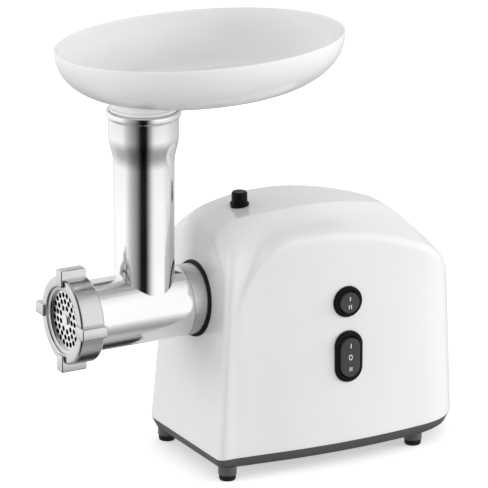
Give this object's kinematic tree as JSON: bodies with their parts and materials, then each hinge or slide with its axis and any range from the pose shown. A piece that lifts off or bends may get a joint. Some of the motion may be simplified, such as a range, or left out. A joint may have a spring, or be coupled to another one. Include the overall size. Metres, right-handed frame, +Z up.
{
  "type": "electric meat grinder",
  "caption": "Electric meat grinder with a rounded white motor housing, aluminium barrel and feed chute, ring nut and oval food tray.",
  "frame": {"origin": "on the plane of the feet, at the middle of the machine from the ring nut to the cord outlet", "axes": "+X along the feed screw from the ring nut to the motor, -Y is the side with the switches, +Z up"},
  "size_m": [0.382, 0.182, 0.378],
  "materials": {
    "white_plastic": "glossy moulded ABS",
    "grey_plastic": "fine moulded texture",
    "black_plastic": "satin moulded",
    "rocker_plastic": "satin moulded with white marks",
    "black_rubber": "matte",
    "polished_aluminium": "polished die casting",
    "steel": "ground",
    "dark_steel": "blackened",
    "cast_case": "as cast",
    "laminations": "varnished stack",
    "copper": "enamelled winding",
    "bronze": "sintered",
    "nylon_gear": "glass filled nylon",
    "ivory_plastic": "moulded",
    "carbon": "pressed graphite",
    "film_box": "moulded box"
  },
  "bodies": {
    "base": {"upper_housing": "white_plastic", "base_plate": "grey_plastic", "rubber_feet": "black_rubber", "base_screws": "steel", "button_collar": "black_plastic", "button_spring": "steel", "lever_pivot": "steel", "gearbox_case": "cast_case", "gearbox_cover": "cast_case", "gearbox_screws": "dark_steel", "collar_seal": "black_rubber", "output_bush": "bronze", "gear_bushes": "bronze", "stator_core": "laminations", "field_coils": "copper", "motor_front_bracket": "cast_case", "motor_rear_bracket": "cast_case", "motor_bearings": "steel", "motor_screws": "dark_steel", "brush_holders": "black_plastic", "carbon_brushes": "carbon", "speed_bezel": "black_plastic", "speed_switch_body": "black_plastic", "main_bezel": "black_plastic", "main_switch_body": "black_plastic", "switch_terminals": "bronze", "terminal_block": "ivory_plastic", "suppressor": "film_box", "cord_gland": "black_plastic"},
    "button": {"release_button": "black_plastic"},
    "lever": {"latch_lever": "steel"},
    "pin": {"lock_pin": "steel"},
    "output": {"output_gear": "nylon_gear"},
    "second_shaft": {"second_gear": "steel"},
    "first_shaft": {"first_gear": "steel"},
    "rotor": {"motor_shaft": "steel", "motor_pinion": "steel", "armature_core": "laminations", "armature_winding": "copper", "commutator": "copper", "cooling_fan": "black_plastic"},
    "speed_switch": {"speed_rocker": "rocker_plastic"},
    "main_switch": {"main_rocker": "rocker_plastic"},
    "head": {"grinder_head": "polished_aluminium", "feed_chute": "polished_aluminium", "cutting_plate": "steel", "auger_bush": "ivory_plastic"},
    "nut": {"ring_nut": "polished_aluminium"},
    "screw": {"auger": "cast_case", "knife": "steel"},
    "tray": {"food_tray": "white_plastic"}
  },
  "joints": [
    {"name": "button_press", "type": "slide", "parent": "base", "child": "button", "axis": [0, 0, -1], "range_m": [0, 0.003], "stiffness_N_per_m": 400, "deforming": ["button_spring"]},
    {"name": "lever_rock", "type": "hinge", "parent": "base", "child": "lever", "pos_m": [-0.0341, 0, 0.1935], "axis": [0, 1, 0], "range_deg": [0, 10.1]},
    {"name": "pin_lift", "type": "slide", "parent": "base", "child": "pin", "axis": [0, 0, 1], "range_m": [0, 0.003]},
    {"name": "output_spin", "type": "hinge", "parent": "base", "child": "output", "pos_m": [-0.037, 0, 0.148], "axis": [1, 0, 0], "continuous": true},
    {"name": "second_spin", "type": "hinge", "parent": "base", "child": "second_shaft", "pos_m": [-0.027, 0, 0.099], "axis": [1, 0, 0], "continuous": true},
    {"name": "first_spin", "type": "hinge", "parent": "base", "child": "first_shaft", "pos_m": [-0.017, 0.028, 0.06538], "axis": [1, 0, 0], "continuous": true},
    {"name": "rotor_spin", "type": "hinge", "parent": "base", "child": "rotor", "pos_m": [0.053, 0, 0.08396], "axis": [1, 0, 0], "continuous": true},
    {"name": "speed_rock", "type": "hinge", "parent": "base", "child": "speed_switch", "pos_m": [0.0505, -0.071, 0.1475], "axis": [1, 0, 0], "range_deg": [-8, 8]},
    {"name": "main_rock", "type": "hinge", "parent": "base", "child": "main_switch", "pos_m": [0.0505, -0.0726, 0.0985], "axis": [1, 0, 0], "range_deg": [-7, 7]},
    {"name": "head_pull", "type": "slide", "parent": "base", "child": "head", "axis": [-1, 0, 0], "range_m": [0, 0.09]},
    {"name": "nut_turn", "type": "hinge", "parent": "head", "child": "nut", "pos_m": [-0.177, 0, 0.148], "axis": [1, 0, 0], "range_deg": [0, 720]},
    {"name": "screw_spin", "type": "hinge", "parent": "head", "child": "screw", "pos_m": [-0.117, 0, 0.148], "axis": [1, 0, 0], "continuous": true},
    {"name": "tray_lift", "type": "slide", "parent": "head", "child": "tray", "axis": [0, 0, 1], "range_m": [0, 0.04]}
  ],
  "couplings": [
    {"joint": "lever_rock", "follows": "button_press", "rad_per_m": 58.48},
    {"joint": "pin_lift", "follows": "button_press", "ratio": 1},
    {"joint": "second_spin", "follows": "output_spin", "ratio": -4},
    {"joint": "first_spin", "follows": "output_spin", "ratio": 16},
    {"joint": "rotor_spin", "follows": "output_spin", "ratio": -80},
    {"joint": "screw_spin", "follows": "output_spin", "ratio": 1}
  ]
}
